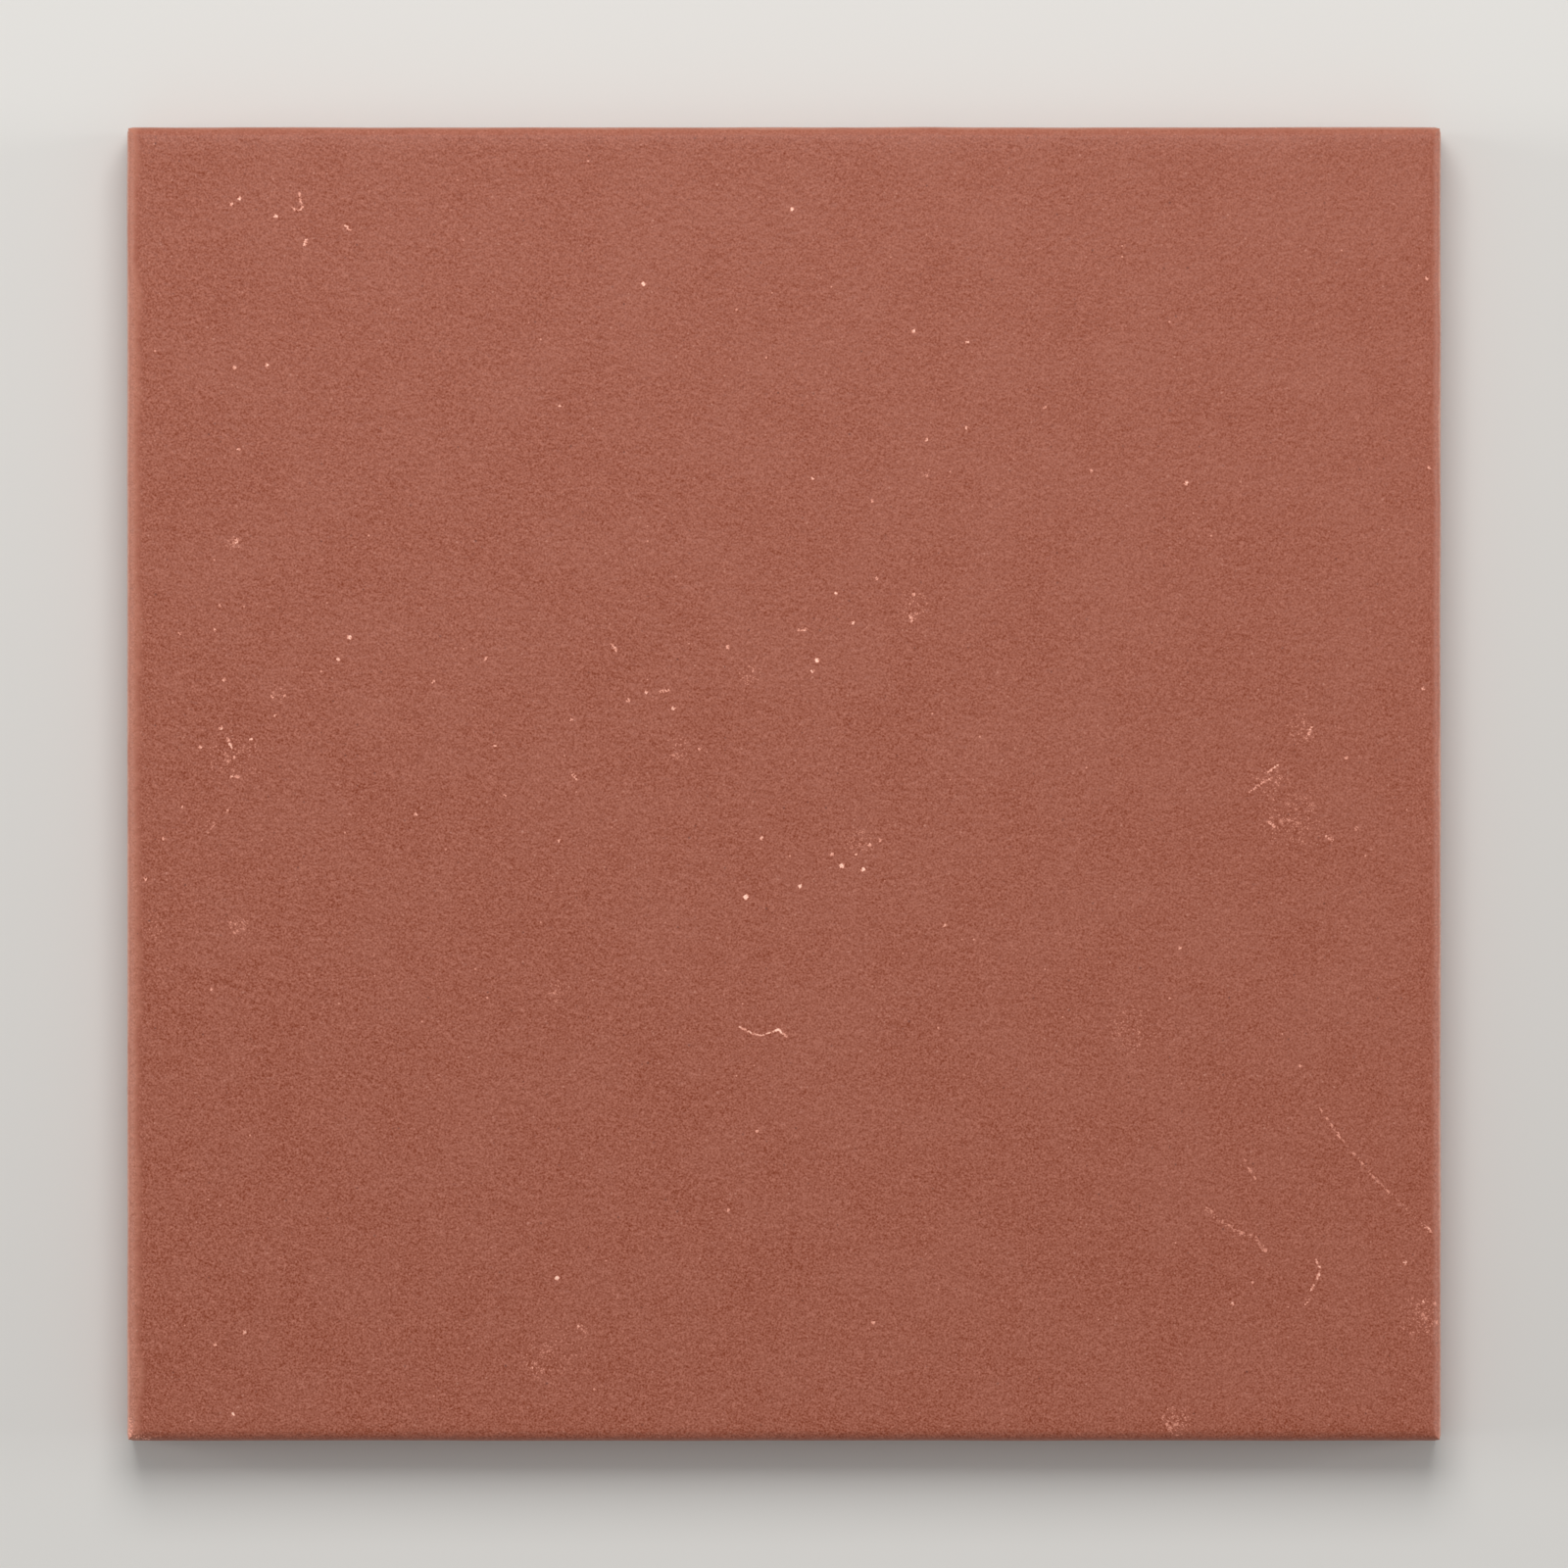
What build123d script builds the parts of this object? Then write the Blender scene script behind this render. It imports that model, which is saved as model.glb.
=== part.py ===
from build123d import *
import os
from math import radians, tan

# One dust-pressed, unglazed porcelain floor tile, fired in a single piece.
# Millimetres. The back lies on Z = 0, the face looks up +Z, and Z runs through the middle.

# Outline and thickness
side = 148.0  # edge to edge at the parting line, where the tile is widest
thickness = 9.0  # from the ribs of the back to the face

# Edges, as they leave the die
parting_depth = 3.0  # from the face down to the parting line
face_draft = 3.0  # lean of the edge above the parting line, in degrees
back_draft = 2.0  # lean of the edge below it, in degrees
arris_radius = 1.4  # the face rolls over into the edges, which meet in mitres
corner_radius = 0.7  # the upright corners, blunted where the tile is widest
heel_chamfer = 0.6  # broken edge round the back

# Key pattern of the back, which the adhesive grips
cells_across = 6
rim_width = 5.5  # plain land between the heel and the outermost cells
rib_width = 3.0  # land between two cells
cell_depth = 0.8
cell_draft = 30.0  # lean of a cell's walls, in degrees
cell_corner_radius = 2.0

# The flat of the back, and the cells that share it
parting_height = thickness - parting_depth
back_lean = parting_height * tan(radians(back_draft))
back_side = side - 2 * (back_lean + heel_chamfer)
cell_pitch = (back_side - 2 * rim_width + rib_width) / cells_across
cell_side = cell_pitch - rib_width


def drafted_half(height, draft):
    """A slab that narrows upwards from the tile's widest outline on Z = 0."""
    return extrude(Rectangle(side, side), height, taper=draft)


def pressed_blank():
    """The tile before its back is keyed: two drafted halves, back to back at the parting line."""
    face_half = Pos(Z=parting_height) * drafted_half(parting_depth, face_draft)
    back_half = Pos(Z=parting_height) * Rot(X=180) * drafted_half(parting_height, back_draft)
    blank = face_half + back_half
    blank = fillet(blank.faces().sort_by(Axis.Z)[-1].edges(), arris_radius)
    blank = chamfer(blank.faces().sort_by(Axis.Z)[0].edges(), heel_chamfer)
    return blank & extrude(RectangleRounded(side, side, corner_radius), thickness)


def key_cell():
    """One recess of the back, with drafted walls and round corners, its mouth on Z = 0."""
    return extrude(RectangleRounded(cell_side, cell_side, cell_corner_radius), cell_depth, taper=cell_draft)


def keyed_tile():
    """The finished tile: the blank with a square grid of cells pressed into its back."""
    cell = key_cell()
    places = GridLocations(cell_pitch, cell_pitch, cells_across, cells_across)
    return pressed_blank() - [place * cell for place in places]


os.makedirs("parts", exist_ok=True)
export_step(keyed_tile(), "parts/tile.step")
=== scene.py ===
import bmesh
import bpy
import math
import numpy as np
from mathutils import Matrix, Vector


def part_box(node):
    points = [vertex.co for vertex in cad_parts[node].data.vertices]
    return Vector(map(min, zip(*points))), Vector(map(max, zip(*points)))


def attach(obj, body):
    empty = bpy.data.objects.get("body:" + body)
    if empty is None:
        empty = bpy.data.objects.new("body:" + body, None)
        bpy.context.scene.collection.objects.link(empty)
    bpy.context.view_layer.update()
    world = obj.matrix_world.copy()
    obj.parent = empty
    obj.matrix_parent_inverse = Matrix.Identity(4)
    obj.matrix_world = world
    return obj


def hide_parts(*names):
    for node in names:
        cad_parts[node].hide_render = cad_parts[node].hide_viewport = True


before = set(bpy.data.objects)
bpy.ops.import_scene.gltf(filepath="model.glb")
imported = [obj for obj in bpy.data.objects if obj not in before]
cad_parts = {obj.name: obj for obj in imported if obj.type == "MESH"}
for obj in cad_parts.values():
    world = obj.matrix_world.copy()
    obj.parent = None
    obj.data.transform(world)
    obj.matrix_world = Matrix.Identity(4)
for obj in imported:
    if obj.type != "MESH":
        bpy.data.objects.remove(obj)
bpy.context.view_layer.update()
tileLow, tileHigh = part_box("tile")

mm = 0.001  # the scene is in metres
snap = 0.01 * mm  # points nearer than this count as one place
leastWeight = 0.001  # weaker points are left out of a vertex group
side = tileHigh.x - tileLow.x
thickness = tileHigh.z - tileLow.z
half = side / 2
print("frame:", len(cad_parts), "node, %.1f mm square, %.1f mm thick" % (side / mm, thickness / mm))


# Small tools

def startClean():  # object mode with nothing selected, so that an operator meets only what it should
    if bpy.context.object and bpy.context.object.mode != "OBJECT":
        bpy.ops.object.mode_set(mode="OBJECT")
    bpy.ops.object.select_all(action="DESELECT")


def makeActive(piece):
    startClean()
    piece.select_set(True)
    bpy.context.view_layer.objects.active = piece


def pick(piece, mode, wanted):  # selects the verts, edges or faces of a piece in edit mode that pass a test
    bpy.ops.mesh.select_mode(type=mode)
    bpy.ops.mesh.select_all(action="DESELECT")
    mesh = bmesh.from_edit_mesh(piece.data)
    parts = {"VERT": mesh.verts, "EDGE": mesh.edges, "FACE": mesh.faces}[mode]
    for part in parts:
        if wanted(part):
            part.select_set(True)
    mesh.select_flush_mode()
    bmesh.update_edit_mesh(piece.data)


def applyAll(piece):
    bpy.context.view_layer.objects.active = piece
    for name in [modifier.name for modifier in piece.modifiers]:
        bpy.ops.object.modifier_apply(modifier=name)


def screenColour(red, green, blue):  # a colour as a screen shows it, 0 to 255, made linear
    shares = [value / 255 for value in (red, green, blue)]
    return [((s + 0.055) / 1.055) ** 2.4 if s > 0.04045 else s / 12.92 for s in shares] + [1.0]


# The edges of the tile, from the flat of its face down to the flat of its back

edge = dict(
    partingDepth=3.0 * mm,  # from the face down to the widest line
    faceDraft=math.radians(3),
    backDraft=math.radians(2),
    arris=1.4 * mm,  # the face rolls over into the edge
    arrisSteps=10,
    upperRings=2,  # rows of faces on the edge above the widest line
    lowerRings=5,  # and below it
    cornerRadius=0.7 * mm,
    heel=0.6 * mm,  # broken edge round the back
    smoothAngle=math.radians(40),  # sharper edges than this stay sharp in the shading
)


def between(start, end, count):  # evenly spaced points after start, up to end
    return [tuple(a + (b - a) * step / count for a, b in zip(start, end)) for step in range(1, count + 1)]


def edgeProfile():  # half widths and heights
    partingZ = thickness - edge["partingDepth"]
    lean = edge["faceDraft"]
    radius = edge["arris"]
    centreZ = thickness - radius
    centreX = half - (radius + (centreZ - partingZ) * math.sin(lean)) / math.cos(lean)
    step = (math.pi / 2 - lean) / edge["arrisSteps"]
    turns = [math.pi / 2 - step * index for index in range(edge["arrisSteps"] + 1)]
    profile = [(centreX + radius * math.cos(turn), centreZ + radius * math.sin(turn)) for turn in turns]
    profile += between(profile[-1], (half, partingZ), edge["upperRings"])
    backLean = edge["backDraft"]
    backHalf = half - partingZ * math.tan(backLean)
    heelTop = (backHalf + edge["heel"] * math.sin(backLean), edge["heel"] * math.cos(backLean))
    profile += between(profile[-1], heelTop, edge["lowerRings"])
    profile.append((backHalf - edge["heel"], 0.0))
    return profile


# The face and edges, drawn out from one grid

face = dict(
    squares=216,  # along one side
    flatDepth=0.02 * mm,  # no point of the flat lies deeper than this
    rimDepth=1.2 * edge["arris"],  # nor a point with wear of the face or arris deeper than this
    undulation=0.05 * mm,
    undulationSize=28 * mm,
    undulationFade=6 * mm,  # how far inside the arris it is full
    waver=0.14 * mm,  # how far the edges wander in from a straight line
    waverSize=16 * mm,
    waverFade=3 * mm,  # how far in from the edge it ends
    waverFoot=0.3 * mm,  # the heel below this stays straight
    nibble=0.10 * mm,  # small unevenness of the arris
    nibbleSize=1.6 * mm,
    nibblePlace=0.6 * edge["arris"],  # where it is strongest, in from the edge
    cloudDepth=2,  # octaves of the noise behind all three
)


def modelFaceAndEdges():
    profile = edgeProfile()
    startClean()
    bpy.ops.mesh.primitive_grid_add(x_subdivisions=face["squares"], y_subdivisions=face["squares"],
                                    size=2 * profile[0][0], location=(0, 0, thickness))
    piece = bpy.context.object
    piece.name = "fired_tile"
    bpy.ops.object.transform_apply(location=True, rotation=True, scale=True)
    bpy.ops.object.mode_set(mode="EDIT")
    bpy.ops.mesh.select_mode(type="EDGE")
    bpy.ops.mesh.select_all(action="SELECT")
    bpy.ops.mesh.region_to_loop()
    for (widthNow, heightNow), (widthNext, heightNext) in zip(profile, profile[1:]):
        bpy.ops.mesh.extrude_edges_move(TRANSFORM_OT_translate={"value": (0, 0, heightNext - heightNow)})
        grow = widthNext / widthNow
        bpy.ops.transform.resize(value=(grow, grow, 1), center_override=(0, 0, heightNext))
    bluntReach = half - edge["cornerRadius"] * (1 - math.sqrt(0.5))  # where a round corner has its middle
    for width, height in profile:
        if width > bluntReach:
            pick(piece, "VERT", lambda v: abs(v.co.z - height) < snap
                 and min(abs(v.co.x), abs(v.co.y)) > width - snap)
            shrink = bluntReach / width
            bpy.ops.transform.resize(value=(shrink, shrink, 1), center_override=(0, 0, height))
    bpy.ops.object.mode_set(mode="OBJECT")
    return piece


# The keyed back: one recess modelled, then laid out in rows

back = dict(
    cells=6,
    rim=5.5 * mm,  # plain land between the heel and the outermost recesses
    rib=3.0 * mm,  # land between two recesses
    depth=0.8 * mm,
    draft=math.radians(30),
    cornerRadius=2.0 * mm,
    cornerSteps=4,
    lip=0.22 * mm,  # soft edge where a recess meets the ribs
    fillet=0.30 * mm,  # soft edge round a recess's floor
    softSteps=2,
    wallLean=math.radians(20),  # a face that leans more than this is part of a wall
)


def modelBack():
    flat = 2 * edgeProfile()[-1][0]
    pitch = (flat - 2 * back["rim"] + back["rib"]) / back["cells"]
    mouth = pitch - back["rib"]
    floorShare = 1 - 2 * back["depth"] * math.tan(back["draft"]) / mouth
    first = -pitch * (back["cells"] - 1) / 2
    startClean()
    bpy.ops.mesh.primitive_plane_add(size=pitch, location=(first, first, 0), rotation=(math.pi, 0, 0))
    piece = bpy.context.object
    bpy.ops.object.transform_apply(location=True, rotation=True, scale=True)
    bpy.ops.object.mode_set(mode="EDIT")
    bpy.ops.mesh.select_all(action="SELECT")
    bpy.ops.mesh.inset(thickness=back["rib"] / 2, depth=0)
    bpy.ops.mesh.extrude_region_move(TRANSFORM_OT_translate={"value": (0, 0, back["depth"])})
    bpy.ops.transform.resize(value=(floorShare, floorShare, 1), center_override=(first, first, 0))
    pick(piece, "EDGE", lambda e: abs(e.verts[0].co.z - e.verts[1].co.z) > back["depth"] / 2)
    bpy.ops.mesh.bevel(offset=back["cornerRadius"], segments=back["cornerSteps"], affect="EDGES")
    pick(piece, "EDGE", lambda e: all(v.co.z > back["depth"] - snap for v in e.verts))
    bpy.ops.mesh.bevel(offset=back["fillet"], segments=back["softSteps"], affect="EDGES")
    pick(piece, "FACE", lambda f: all(v.co.z > back["depth"] - snap for v in f.verts))
    bpy.ops.mesh.inset(thickness=back["fillet"], depth=0)  # keeps the shading of the floor flat
    steep = math.cos(back["wallLean"])
    pick(piece, "EDGE", lambda e: all(v.co.z < snap for v in e.verts) and len(e.link_faces) == 2
         and any(abs(f.normal.z) < steep for f in e.link_faces))
    bpy.ops.mesh.bevel(offset=back["lip"], segments=back["softSteps"], affect="EDGES")
    bpy.ops.object.mode_set(mode="OBJECT")
    for step in ((pitch, 0, 0), (0, pitch, 0)):
        rows = piece.modifiers.new("rows", "ARRAY")
        rows.count = back["cells"]
        rows.use_relative_offset = False
        rows.use_constant_offset = True
        rows.constant_offset_displace = step
        rows.use_merge_vertices = True
        rows.merge_threshold = snap
    applyAll(piece)
    bpy.ops.object.mode_set(mode="EDIT")
    bpy.ops.mesh.select_mode(type="EDGE")
    bpy.ops.mesh.select_all(action="SELECT")
    bpy.ops.mesh.region_to_loop()
    bpy.ops.mesh.subdivide(number_cuts=face["squares"] // back["cells"] - 1)  # to match the heel's points
    bpy.ops.object.mode_set(mode="OBJECT")
    return piece


def joinTile(piece, backPiece):
    makeActive(piece)
    backPiece.select_set(True)
    bpy.ops.object.join()
    bpy.ops.object.mode_set(mode="EDIT")
    pick(piece, "EDGE", lambda e: e.is_boundary)
    bpy.ops.mesh.bridge_edge_loops()
    bpy.ops.mesh.select_all(action="SELECT")
    bpy.ops.mesh.remove_doubles(threshold=snap / 10)
    bpy.ops.mesh.normals_make_consistent(inside=False)
    bpy.ops.object.mode_set(mode="OBJECT")


# Marks on the face, in millimetres from its middle

marks = dict(
    specks=dict(  # pale grains and pinholes: radius, how pale, and where they are
        pinhole=(0.36, 1.0, [(-4.3, -12.7)]),
        bright=(0.31, 0.88, [(3.7, 13.9), (8.9, -9.6), (6.5, -9.2), (-25.5, -55.5), (-48.8, 16.5)]),
        clear=(0.28, 0.74, [
            (-61.9, -70.8), (-57.1, 63.8), (1.8, -11.5), (0.9, 64.6), (-15.8, 56.2), (45.2, 33.8),
            (14.6, 50.9), (-12.4, 8.5),
        ]),
        plain=(0.26, 0.57, [
            (3.2, 12.7), (-60.6, -61.6), (-50.1, 14.0), (-61.2, 65.8), (-59.9, 5.0), (-15.5, 10.3),
            (-63.3, 6.3), (-61.7, 46.8), (-58.1, 47.1), (14.6, 21.3), (16.0, 38.7), (20.6, 49.6),
            (-3.0, -39.0), (69.8, -53.8), (-33.5, 14.1),
        ]),
        dull=(0.26, 0.48, [
            (5.4, -7.9), (8.1, -7.9), (9.6, -6.8), (-2.5, -6.1), (18.1, -15.9), (-6.3, 15.4), (-17.5, 9.4),
            (7.8, 18.1), (10.4, 23.1), (3.2, 34.3), (29.3, 42.3), (-25.2, 42.5), (-39.4, 11.5),
            (-41.4, -3.4), (-65.6, 4.1), (-62.5, -3.0), (-62.9, 11.7), (-57.5, 9.8), (-62.1, 65.2),
            (-71.8, -10.7), (44.5, -18.4), (50.4, -58.4), (71.9, -58.1), (71.8, 10.7), (72.2, 56.8),
            (72.5, 35.5),
        ]),
        faint=(0.25, 0.41, [
            (34.5, 35.2), (20.5, 40.0), (9.9, 31.8), (5.8, 21.4), (10.8, -6.3), (-9.5, 3.9), (-32.5, 4.3),
            (-25.3, -6.4), (-61.3, 37.6), (-67.9, 16.9), (-63.9, 17.3), (-56.1, 9.9), (-57.2, 7.7),
            (-67.6, -2.6), (-69.8, -6.2), (-64.3, -23.1), (-63.9, -63.0), (-28.2, -65.6), (-23.1, -61.0),
            (10.0, -60.5), (58.0, -31.7), (64.3, -5.0), (63.2, 3.0),
        ]),
        faintest=(0.23, 0.35, [(-23.9, 7.2), (-6.3, -47.9), (-61.8, 3.0), (-31.4, -1.3), (-63.4, 20.0)]),
        smudge=(0.46, 0.42, [(-61.6, 27.3)]),
    ),
    strokes=dict(  # unbroken lines: a run of points, half width and how pale
        curl=(
            [(-5.0, -27.3), (-3.5, -28.05), (-2.5, -28.25), (-1.7, -28.0), (-0.6, -27.6), (0.3, -28.4)],
            0.13, 0.6,
        ),
        curlBend=([(-1.1, -27.75), (-0.6, -27.6), (-0.3, -27.9)], 0.17, 0.85),
        loop=(
            [(-54.5, 66.5), (-54.3, 65.5), (-54.1, 64.9), (-54.4, 64.45), (-54.75, 64.4), (-55.2, 64.75)],
            0.15, 0.44,
        ),
        dash=([(-62.5, 5.2), (-62.1, 4.1)], 0.20, 0.5),
        flake=([(-49.3, 62.75), (-48.8, 62.25)], 0.20, 0.5),
        grain=([(-53.9, 60.6), (-53.7, 61.1)], 0.25, 0.6),
        tick=([(54.5, -4.3), (55.1, -4.8)], 0.20, 0.4),
        lowTick=([(60.9, -5.8), (61.7, -6.3)], 0.18, 0.42),
        highTick=([(59.3, 6.4), (58.9, 5.5)], 0.18, 0.40),
        slip=([(-23.8, 1.2), (-23.3, 0.5)], 0.20, 0.42),
        nick=([(-19.3, 15.7), (-18.9, 15.0)], 0.22, 0.45),
        smear=([(-62.2, 0.9), (-61.3, 0.8)], 0.20, 0.40),
        pair=([(-13.9, 10.4), (-13.0, 10.5)], 0.20, 0.42),
        bar=([(1.7, 17.3), (2.6, 17.4)], 0.20, 0.42),
        notch=([(14.2, 19.0), (14.4, 18.3)], 0.22, 0.5),
        scrape=([(52.35, -0.9), (53.6, 0.0), (54.8, 0.7)], 0.15, 0.38),
        upperScrape=([(54.4, 1.3), (55.5, 2.2)], 0.16, 0.42),
        hookTop=([(59.8, -53.5), (60.2, -54.3)], 0.20, 0.38),
        hookBend=([(60.1, -55.1), (59.9, -55.6)], 0.20, 0.45),
        hookLow=([(59.5, -56.3), (59.2, -56.9)], 0.18, 0.36),
        hookEnd=([(58.9, -58.0), (58.6, -58.5)], 0.18, 0.34),
        scratchHead=([(62.1, -39.1), (62.5, -39.7)], 0.18, 0.45),
        scratchEnd=([(72.2, -49.8), (72.7, -50.2)], 0.18, 0.42),
        corner=([(-73.6, -71.4), (-73.5, -73.3), (-71.6, -73.7)], 0.40, 0.22),
    ),
    scratches=dict(  # lines that the grain breaks up: a run of points, half width and strength
        longScratch=(
            [(60.2, -36.4), (62.2, -39.3), (66.0, -43.9), (69.2, -47.1), (72.6, -50.3)],
            0.22, 0.75,
        ),
        lowScratch=([(47.4, -47.6), (48.9, -49.0), (51.3, -50.4), (52.8, -50.8), (54.1, -52.4)], 0.34, 1.0),
        hook=([(59.8, -53.4), (60.3, -54.4), (60.0, -55.4), (59.4, -56.6), (58.6, -58.6)], 0.26, 0.55),
        hatchOne=([(-65.2, -3.2), (-65.5, -3.9)], 0.22, 0.55),
        hatchTwo=([(-64.6, -4.0), (-65.2, -5.0)], 0.22, 0.55),
        hatchThree=([(-63.9, -4.3), (-65.0, -5.8)], 0.22, 0.55),
        slant=([(51.6, -42.2), (53.0, -44.4)], 0.26, 0.75),
    ),
    scuffs=[  # rubbed patches: place, radius and strength
        (57.0, -3.8, 3.8, 0.48), (58.2, 6.2, 2.2, 0.45), (54.6, 0.5, 2.6, 0.40),
        (71.6, -60.0, 2.8, 0.60), (8.6, -6.4, 2.2, 0.45), (-61.6, 27.2, 1.1, 0.55),
        (-56.8, 10.2, 1.3, 0.50), (43.9, -71.6, 1.9, 0.85), (-3.8, 12.3, 1.4, 0.70),
        (14.5, 20.0, 2.0, 0.55), (-62.0, 3.0, 3.6, 0.38), (-12.2, 4.0, 2.0, 0.50),
        (-25.6, -23.2, 1.3, 0.60), (-23.0, -61.3, 1.2, 0.55), (-28.0, -65.2, 1.5, 0.55),
        (16.2, 34.5, 1.0, 0.40), (39.0, -27.6, 3.2, 0.40), (-71.0, -16.0, 1.6, 0.40),
        (-61.3, -16.0, 1.5, 0.70), (-26.0, -64.0, 4.0, 0.30),
    ],
    lineFade=0.6,  # share of a line's half width over which it fades out
    speckFade=0.5,  # and of a speck's radius
    scuffReach=0.6 * mm,  # how far below the face the rubbed patches go
    pit=0.05 * mm,  # how deep the unbroken marks are
    refineReach=0.5,  # millimetres round a mark where the grid is made finer
    refineCuts=5,
)


def lineDistance(x, y, run):  # from points to a run of short straight pieces
    nearest = np.full(np.shape(x), np.inf)
    for (ax, ay), (bx, by) in zip(run, run[1:]):
        length = (bx - ax) ** 2 + (by - ay) ** 2
        along = np.clip(((x - ax) * (bx - ax) + (y - ay) * (by - ay)) / length, 0, 1)
        nearest = np.minimum(nearest, np.hypot(x - ax - along * (bx - ax), y - ay - along * (by - ay)))
    return nearest


def lineWeights(x, y, kind, reach):  # how strongly each point is marked by lines of one kind
    weight = np.zeros(np.shape(x))
    for run, width, strength in marks[kind].values():
        inside = np.clip((width + reach - lineDistance(x, y, run)) / (marks["lineFade"] * width), 0, 1)
        weight = np.maximum(weight, strength * inside)
    return weight


def solidWeights(x, y, reach=0.0):
    weight = lineWeights(x, y, "strokes", reach)
    for radius, pale, places in marks["specks"].values():
        for markX, markY in places:
            fromMiddle = np.hypot(x - markX, y - markY)
            inside = np.clip((radius + reach - fromMiddle) / (marks["speckFade"] * radius), 0, 1)
            weight = np.maximum(weight, pale * inside)
    return weight


def brokenWeights(x, y):
    weight = lineWeights(x, y, "scratches", 0.0)
    for markX, markY, radius, strength in marks["scuffs"]:
        inside = np.clip(1 - np.hypot(x - markX, y - markY) / radius, 0, 1)
        weight = np.maximum(weight, strength * np.sqrt(inside))
    return weight


def refineMarks(piece):  # a finer grid where the face has a mark
    centres = np.zeros(len(piece.data.polygons) * 3)
    piece.data.polygons.foreach_get("center", centres)
    x, y, z = centres.reshape(-1, 3).T
    near = solidWeights(x / mm, y / mm, marks["refineReach"]) > 0
    near |= lineWeights(x / mm, y / mm, "scratches", marks["refineReach"]) > 0
    near &= z > thickness - face["flatDepth"]
    makeActive(piece)
    bpy.ops.object.mode_set(mode="EDIT")
    pick(piece, "FACE", lambda f: near[f.index])
    bpy.ops.mesh.subdivide(number_cuts=marks["refineCuts"])
    bpy.ops.object.mode_set(mode="OBJECT")


def weightGroup(piece, name, weights):
    group = piece.vertex_groups.new(name=name)
    for index in np.nonzero(weights > leastWeight)[0]:
        group.add([int(index)], float(weights[index]), "REPLACE")
    return group.name


def displace(piece, name, weights, strength, size=None):  # moves the surface inwards where the weights are
    bump = piece.modifiers.new(name, "DISPLACE")
    bump.vertex_group = weightGroup(piece, name, weights)
    bump.strength = strength
    bump.mid_level = 1.0
    if size:
        cloud = bpy.data.textures.new(name, "CLOUDS")
        cloud.noise_scale = size
        cloud.noise_depth = face["cloudDepth"]
        bump.texture = cloud
        bump.texture_coords = "LOCAL"


def pointValues(piece, name, values):
    layer = piece.data.attributes.new(name, "FLOAT", "POINT")
    layer.data.foreach_set("value", values.astype(np.float32))


def wearTile(piece):
    points = np.zeros(len(piece.data.vertices) * 3)
    piece.data.vertices.foreach_get("co", points)
    x, y, z = points.reshape(-1, 3).T
    fromRim = half - np.maximum(np.abs(x), np.abs(y))
    onFace = z > thickness - face["rimDepth"]
    solid = solidWeights(x / mm, y / mm) * onFace
    pointValues(piece, "mark", solid)
    pointValues(piece, "scuff", brokenWeights(x / mm, y / mm) * (z > thickness - marks["scuffReach"]))
    spread = np.clip((fromRim - edge["arris"]) / face["undulationFade"], 0, 1) * onFace
    edgeShare = np.clip(1 - fromRim / face["waverFade"], 0, 1) * (z > face["waverFoot"])
    arrisShare = np.clip(1 - np.abs(fromRim - face["nibblePlace"]) / edge["arris"], 0, 1) * onFace
    displace(piece, "undulation", spread, face["undulation"], face["undulationSize"])
    displace(piece, "waver", edgeShare, face["waver"], face["waverSize"])
    displace(piece, "nibble", arrisShare, face["nibble"], face["nibbleSize"])
    displace(piece, "pits", solid, marks["pit"])
    makeActive(piece)
    applyAll(piece)
    bpy.ops.object.shade_smooth_by_angle(angle=edge["smoothAngle"])


# Shader maths, written as plain expressions

class Signal:  # a socket that can be added, multiplied and so on
    def __init__(self, nodes, socket):
        self.nodes = nodes
        self.socket = socket

    def math(self, operation, *others):
        return self.nodes.math(operation, self, *others)

    def other(self, name):  # another output of the same node
        return Signal(self.nodes, self.socket.node.outputs[name])

    def __add__(self, value):
        return self.math("ADD", value)

    def __radd__(self, value):
        return self.math("ADD", value)

    def __sub__(self, value):
        return self.math("SUBTRACT", value)

    def __rsub__(self, value):
        return self.nodes.math("SUBTRACT", value, self)

    def __mul__(self, value):
        return self.math("MULTIPLY", value)

    def __rmul__(self, value):
        return self.math("MULTIPLY", value)

    def __abs__(self):
        return self.math("ABSOLUTE")


class Nodes:  # the nodes of one material, or of the world
    def __init__(self, owner):
        owner.use_nodes = True
        self.tree = owner.node_tree

    def node(self, kind, settings=None, inputs=None, output=0):
        made = self.tree.nodes.new(kind)
        for name, value in (settings or {}).items():
            setattr(made, name, value)
        for name, value in (inputs or {}).items():
            self.feed(made.inputs[name], value)
        return Signal(self, made.outputs[output])

    def feed(self, socket, value):
        if isinstance(value, Signal):
            self.tree.links.new(value.socket, socket)
        else:
            socket.default_value = value

    def math(self, operation, *values):
        return self.node("ShaderNodeMath", {"operation": operation}, dict(enumerate(values)))

    def ramp(self, value, low, high):  # a soft step from 0 at low to 1 at high
        return self.node("ShaderNodeMapRange", {"interpolation_type": "SMOOTHSTEP"},
                         {"Value": value, "From Min": low, "From Max": high})

    def mix(self, share, start, end):  # between two colours
        return self.node("ShaderNodeMix", {"data_type": "RGBA"}, {0: share, 6: start, 7: end}, output=2)

    def noise(self, place, scale, detail, roughness):
        return self.node("ShaderNodeTexNoise", None,
                         {"Vector": place, "Scale": scale, "Detail": detail, "Roughness": roughness})

    def finish(self, **inputs):  # the shader's own sockets, with spaces left out of their names
        for socket in self.tree.nodes["Principled BSDF"].inputs:
            name = socket.name.replace(" ", "")
            if name in inputs:
                self.feed(socket, inputs[name])


# The fired body: unglazed, coloured right through

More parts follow.
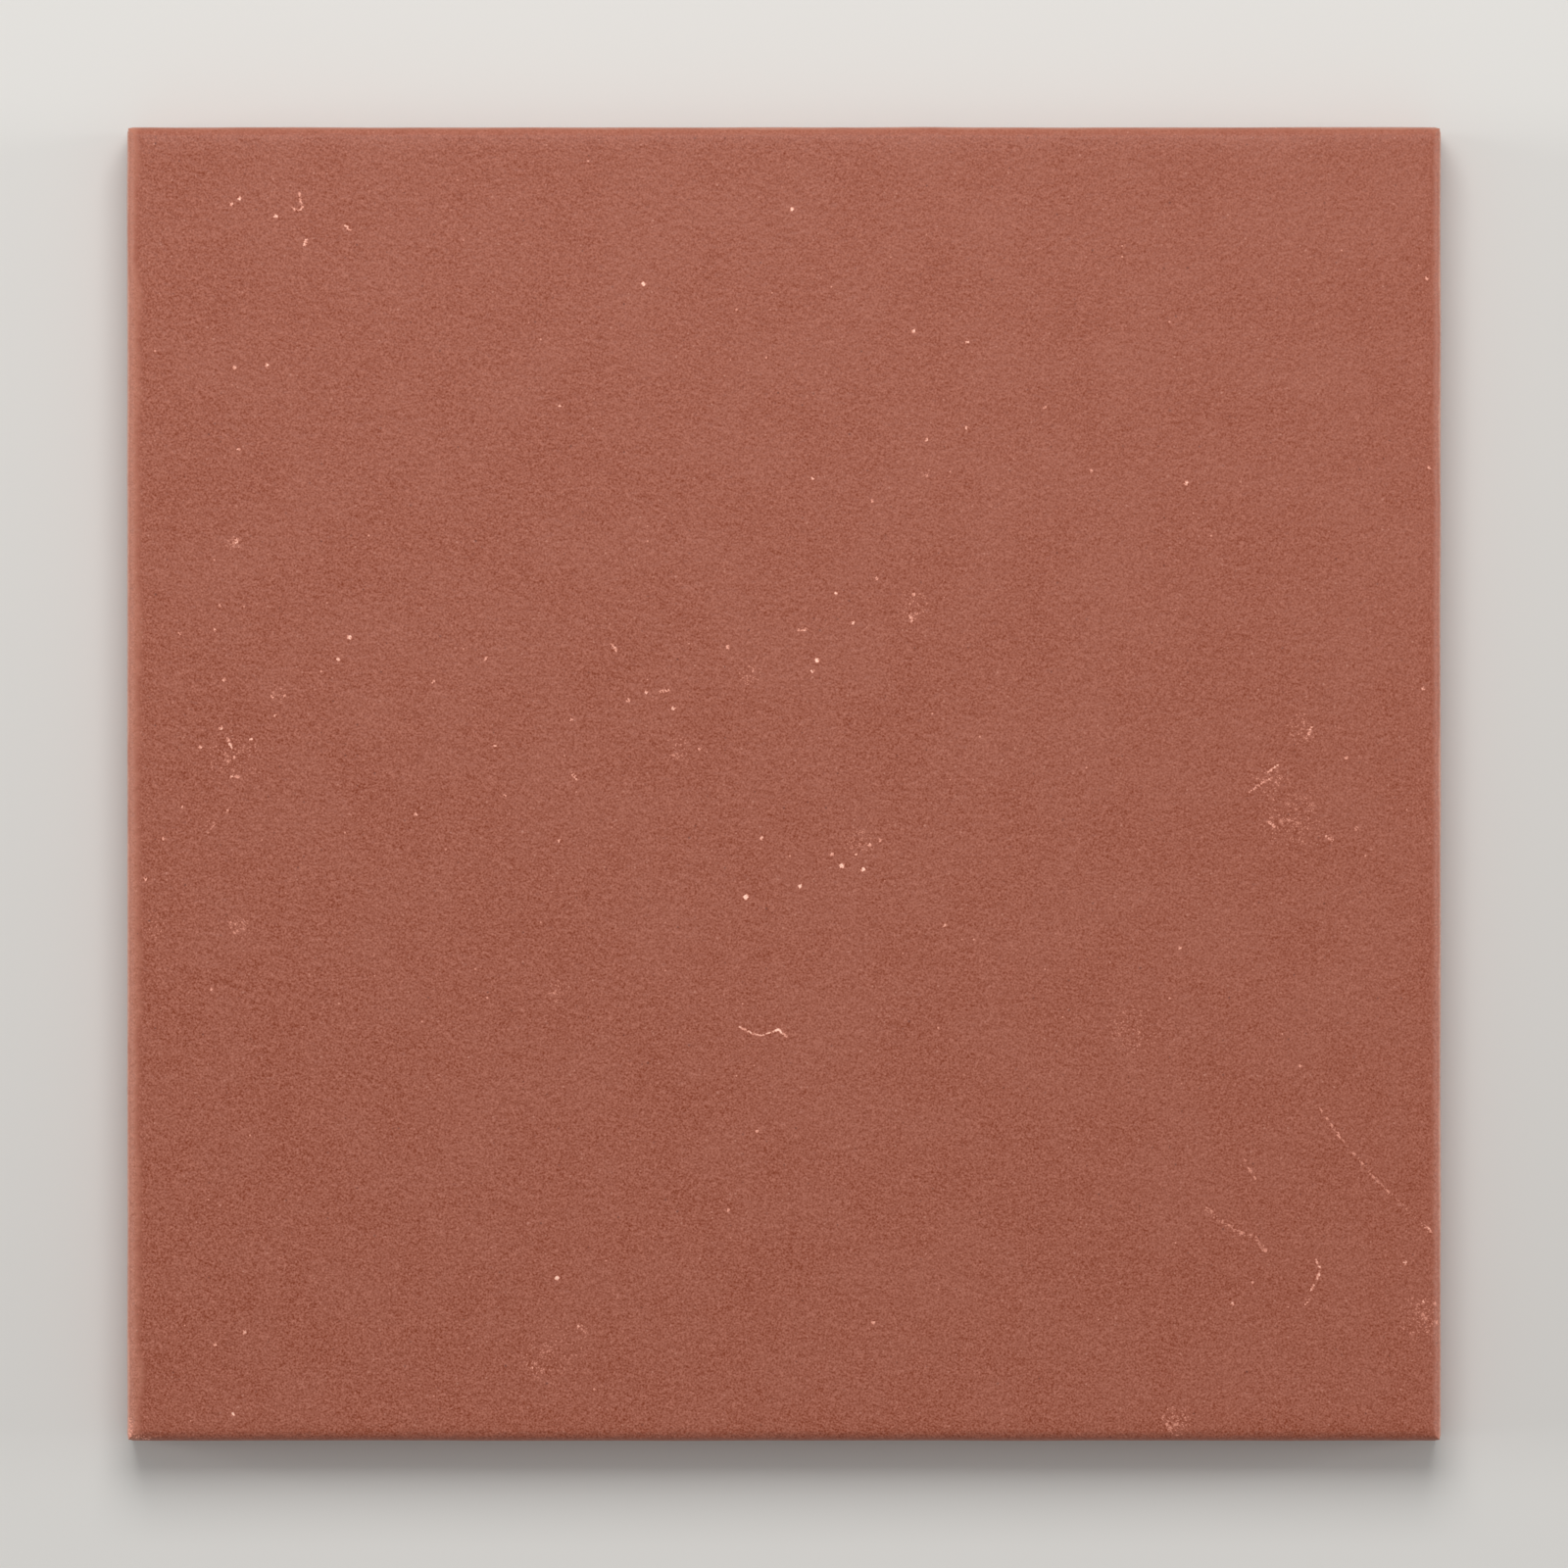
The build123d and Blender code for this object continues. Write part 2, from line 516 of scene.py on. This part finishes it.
body = dict(
    darkGrain=screenColour(122, 45, 4),
    paleGrain=screenColour(185, 116, 96),
    dull=screenColour(152, 90, 72),
    quartz=screenColour(200, 138, 119),
    iron=screenColour(92, 44, 33),
    # the next two colours pale the arrises: partly wear, partly painted highlight and sheen; the first also
    # pales the widest line of the edges, where it is wear only
    worn=screenColour(214, 150, 126),
    bare=screenColour(240, 190, 170),
    fleck=screenColour(226, 152, 130),
    chip=screenColour(255, 208, 186),
    flank=screenColour(146, 84, 66),
    dust=screenColour(190, 150, 134),
    grain=dict(scale=4.8, detail=1.0, roughness=0.45),  # scales are per millimetre
    relief=dict(scale=1.5, detail=1.0, roughness=0.5),
    broad=dict(scale=0.10, detail=3.0, roughness=0.75),
    turn=(0.4, 0.7, 0.5),  # radians, so that the grain doesn't line up with the edges
    streak=0.75,  # how far the grain of the edges is drawn out upright
    tone=0.40,  # mean share of the pale grain
    grainContrast=1.45,
    reliefContrast=0.25,
    broadContrast=0.22,
    coarserLeft=0.0011,  # per millimetre: the grain stands out more towards one corner
    coarserDown=0.0015,
    reliefDepth=0.12,  # millimetres
    smootherFlank=0.45,  # share of the relief that the edges lack
    cellScale=1.5,  # per millimetre, with one dot of quartz or iron at most in a cell
    dotSize=0.10,  # radius of the smallest dots, in cells
    dotSpread=0.16,  # how much larger the largest are
    dotFade=0.55,  # share of its radius inside which a dot is full
    rub=dict(  # how far the pale band of an arris reaches, how strong it is, and how strong at the very edge; partly wear and partly painted highlight, strongest on the lit left side and almost none on the shaded bottom
        left=(1.7, 0.26, 0.40),
        right=(1.2, 0.12, 0.42),
        top=(0.95, 0.10, 0.22),
        bottom=(0.4, 0.0, 0.05),
    ),
    rubFade=0.7,  # share of its reach inside which the wear and painted highlight are full
    wobble=dict(broad=1.6, grain=1.2, rim=0.4, seam=0.5),  # how ragged the wear and the painted highlight are
    scuffFlecks=0.95,  # how many cells of a full scuff have a fleck
    scuffPowder=0.16,  # how much more of its grain is powdery
    raggedFleck=1.4,  # how far the grain eats into a fleck
    raggedMark=1.7,  # and into a mark
    masks=dict(  # where each starts and where it is full
        flankTop=(1.0, 2.2),  # millimetres below the face
        flankFoot=(0.2, 0.9),  # millimetres above the back
        upper=(2.6, 1.2),  # millimetres below the face
        rim=(0.45, 0.2),  # millimetres in from the edge
        seam=(0.34, 0.04),  # millimetres from the widest line
        seamPatches=(0.40, 0.60),
        ribs=(0.30, 0.05),  # millimetres above the back
        dustPatches=(0.36, 0.64),
        dull=(0.44, 0.60),
        quartz=(0.55, 0.75),
        fleck=(0.985, 0.990),
        iron=(0.16, 0.06),
        scuff=(0.02, 0.20),
        scuffFlecks=(1.0, 1.05),
        scuffPowder=(0.68, 0.76),
        cell=(0.40, 0.24),
        mark=(0.0, 0.15),
        markFleck=(0.06, 0.52),
        markChip=(0.45, 0.92),
    ),
    shares=dict(  # how much each covers
        dull=0.12, quartz=0.45, fleck=0.7, iron=0.6, flank=0.6, seam=0.30,
        dust=0.30, dustPatches=0.35, scuffFlecks=0.75, scuffPowder=0.45,
    ),
    roughness=0.52,
    grainRoughness=0.3,
    ribRoughness=0.2,
    specular=0.35,
)

middle = 0.5  # mean of a noise


def firedBody():
    material = bpy.data.materials.new("fired_body")
    nodes = Nodes(material)
    shares = body["shares"]
    wobble = body["wobble"]

    def mask(value, name):
        return nodes.ramp(value, *body["masks"][name])

    def attribute(name):
        return nodes.node("ShaderNodeAttribute", {"attribute_name": name}, output="Fac")

    # Where a point lies, in millimetres
    place = nodes.node("ShaderNodeTexCoord", output="Object")
    spot = nodes.node("ShaderNodeVectorMath", {"operation": "SCALE"}, {0: place, "Scale": 1 / mm})
    x = nodes.node("ShaderNodeSeparateXYZ", None, {0: spot})
    y = x.other("Y")
    z = x.other("Z")
    depth = thickness / mm - z
    flank = mask(depth, "flankTop") * mask(z, "flankFoot")

    # Grain, drawn out into upright streaks on the edges
    drawn = nodes.node("ShaderNodeCombineXYZ", None, {0: x, 1: y, 2: z * (1 - body["streak"] * flank)})
    drawn = nodes.node("ShaderNodeVectorRotate", {"rotation_type": "EULER_XYZ"},
                       {0: drawn, "Rotation": body["turn"]})
    grain = nodes.noise(drawn, **body["grain"])
    relief = nodes.noise(drawn, **body["relief"])
    broad = nodes.noise(spot, **body["broad"])
    coarse = 1 - body["coarserLeft"] * x - body["coarserDown"] * y
    fine = (grain - middle) * body["grainContrast"] + (relief - middle) * body["reliefContrast"]
    tone = fine * coarse + (broad - middle) * body["broadContrast"] + body["tone"]
    tone = tone.math("MINIMUM", 1).math("MAXIMUM", 0)
    colour = nodes.mix(tone, body["darkGrain"], body["paleGrain"])
    colour = nodes.mix(mask(broad, "dull") * shares["dull"], colour, body["dull"])

    # Dots of quartz and iron, and rare pale flecks
    cells = nodes.node("ShaderNodeTexVoronoi", None, {"Vector": spot, "Scale": body["cellScale"]},
                       output="Distance")
    chance = nodes.node("ShaderNodeSeparateColor", None, {0: cells.other("Color")})
    size = body["dotSize"] + body["dotSpread"] * chance.other("Green") * chance.other("Green")
    dot = nodes.ramp(cells, size, size * body["dotFade"])
    for name in ("quartz", "fleck", "iron"):
        colour = nodes.mix(dot * mask(chance, name) * shares[name], colour, body[name])

    # Arrises paled partly by wear and partly by painted highlight, more on the lit sides than on the shaded
    # bottom
    reach = dict(left=half / mm + x, right=half / mm - x, top=half / mm - y, bottom=half / mm + y)
    ragged = (broad - middle) * wobble["broad"] + (grain - middle) * wobble["grain"]
    upper = mask(depth, "upper")
    arrisWearAndSheen = 0.0
    bare = 0.0
    for name, (width, strength, edgeWearAndHighlightShare) in body["rub"].items():
        bandWearAndSheen = nodes.ramp(reach[name] + ragged * width, width, body["rubFade"] * width)
        arrisWearAndSheen = bandWearAndSheen * strength + arrisWearAndSheen
        rim = mask(reach[name] + ragged * wobble["rim"], "rim")
        bare = (rim * edgeWearAndHighlightShare).math("MAXIMUM", bare)
    # pale bands and hairline on the arrises: partly wear, partly painted highlight that follows the lamps
    colour = nodes.mix(arrisWearAndSheen * upper, colour, body["worn"])
    colour = nodes.mix(bare * upper, colour, body["bare"])

    # Edges duller and rubbed along their widest line, ribs of the back dusty
    colour = nodes.mix(flank * shares["flank"], colour, body["flank"])
    fromWidest = abs(depth - edge["partingDepth"] / mm)
    seam = mask(fromWidest + ragged * wobble["seam"], "seam") * mask(broad, "seamPatches")
    colour = nodes.mix(seam * flank * shares["seam"], colour, body["worn"])
    ribs = mask(z, "ribs")
    dusty = shares["dust"] + shares["dustPatches"] * mask(broad, "dustPatches")
    colour = nodes.mix(ribs * dusty, colour, body["dust"])

    # Scuffs, broken into flecks and powder
    scuff = attribute("scuff")
    flecks = mask(cells + (grain - middle) * body["raggedFleck"], "cell")
    flecks = flecks * mask(chance.other("Blue") + body["scuffFlecks"] * scuff, "scuffFlecks")
    powder = mask(grain + body["scuffPowder"] * scuff, "scuffPowder")
    loose = (flecks * shares["scuffFlecks"]).math("MAXIMUM", powder * shares["scuffPowder"])
    colour = nodes.mix(loose * mask(scuff, "scuff"), colour, body["fleck"])

    # Marks chipped through to the pale grain
    mark = attribute("mark")
    chipped = mark + (grain - middle) * body["raggedMark"] * mask(mark, "mark")
    colour = nodes.mix(mask(chipped, "markFleck"), colour, body["fleck"])
    colour = nodes.mix(mask(chipped, "markChip"), colour, body["chip"])

    height = (relief - middle) * body["reliefDepth"] * coarse * (1 - body["smootherFlank"] * flank)
    bump = nodes.node("ShaderNodeBump", None, {"Strength": 1.0, "Distance": mm, "Height": height})
    rough = body["roughness"] + (grain - middle) * body["grainRoughness"] + ribs * body["ribRoughness"]
    nodes.finish(BaseColor=colour, Roughness=rough, Normal=bump, SpecularIORLevel=body["specular"])
    return material


# Floor, light and camera

stage = dict(
    floorColour=screenColour(216, 214, 210),
    floorRoughness=0.9,
    floorSpecular=0.1,
    floorSize=8.0,
    floorSquares=4,
    drop=0.02 * mm,  # keeps the floor clear of the ribs
    worldLight=0.34,
    worldSeen=0.72,
    frameShare=0.84,  # how much of the picture the tile fills
    lens=300,
    sensor=36,
    lamps=dict(  # place, size and power
        key=((-0.01, 0.38, 0.55), 0.42, 3.12),
        left=((-2.25, 0.13, 0.65), 1.0, 20.0),
        right=((2.30, 0.13, 0.48), 0.75, 20.6),
    ),
)


def makeStage():
    startClean()
    squares = stage["floorSquares"]
    bpy.ops.mesh.primitive_grid_add(x_subdivisions=squares, y_subdivisions=squares, size=stage["floorSize"],
                                    location=(0, 0, tileLow.z - stage["drop"]))
    floor = bpy.context.object
    floor.name = "floor"
    bpy.ops.object.transform_apply(location=True, rotation=True, scale=True)
    material = bpy.data.materials.new("pale_floor")
    Nodes(material).finish(BaseColor=stage["floorColour"], Roughness=stage["floorRoughness"],
                           SpecularIORLevel=stage["floorSpecular"])
    floor.data.materials.append(material)


def makeLight():
    for name, (place, size, power) in stage["lamps"].items():
        bpy.ops.object.light_add(type="AREA", location=place)
        lamp = bpy.context.object
        lamp.name = name + "_lamp"
        lamp.rotation_euler = (-Vector(place)).to_track_quat("-Z", "Y").to_euler()
        lamp.data.size = size
        lamp.data.energy = power
    world = bpy.data.worlds.new("studio")
    bpy.context.scene.world = world
    sky = Nodes(world)
    white = (1, 1, 1, 1)
    lit = sky.node("ShaderNodeBackground", None, {"Color": white, "Strength": stage["worldLight"]})
    seen = sky.node("ShaderNodeBackground", None, {"Color": white, "Strength": stage["worldSeen"]})
    path = sky.node("ShaderNodeLightPath", output="Is Camera Ray")
    direct = path
    for kind in ("Is Glossy Ray", "Is Transmission Ray"):
        direct = direct.math("MAXIMUM", path.other(kind))
    chosen = sky.node("ShaderNodeMixShader", None, {0: direct, 1: lit, 2: seen})
    sky.feed(sky.tree.nodes["World Output"].inputs["Surface"], chosen)


def makeCamera():
    reach = side / stage["frameShare"] * stage["lens"] / stage["sensor"]
    bpy.ops.object.camera_add(location=(0, 0, thickness + reach), rotation=(0, 0, 0))  # looks down, +Y up
    camera = bpy.context.object
    camera.data.sensor_width = stage["sensor"]
    camera.data.lens = stage["lens"]
    bpy.context.scene.camera = camera
    bpy.context.scene.view_settings.view_transform = "Standard"


makeCamera()
makeLight()
makeStage()
print("stage: floor, lamps and camera placed")

tilePiece = modelFaceAndEdges()
print("tile: face and edges drawn out,", len(tilePiece.data.polygons), "faces")
joinTile(tilePiece, modelBack())
print("tile: keyed back joined,", len(tilePiece.data.polygons), "faces")
refineMarks(tilePiece)
wearTile(tilePiece)
triangles = sum(len(polygon.vertices) - 2 for polygon in tilePiece.data.polygons)
print("tile: marks and wear done,", triangles, "triangles")
tilePiece.data.materials.append(firedBody())
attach(tilePiece, "root")
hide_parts("tile")
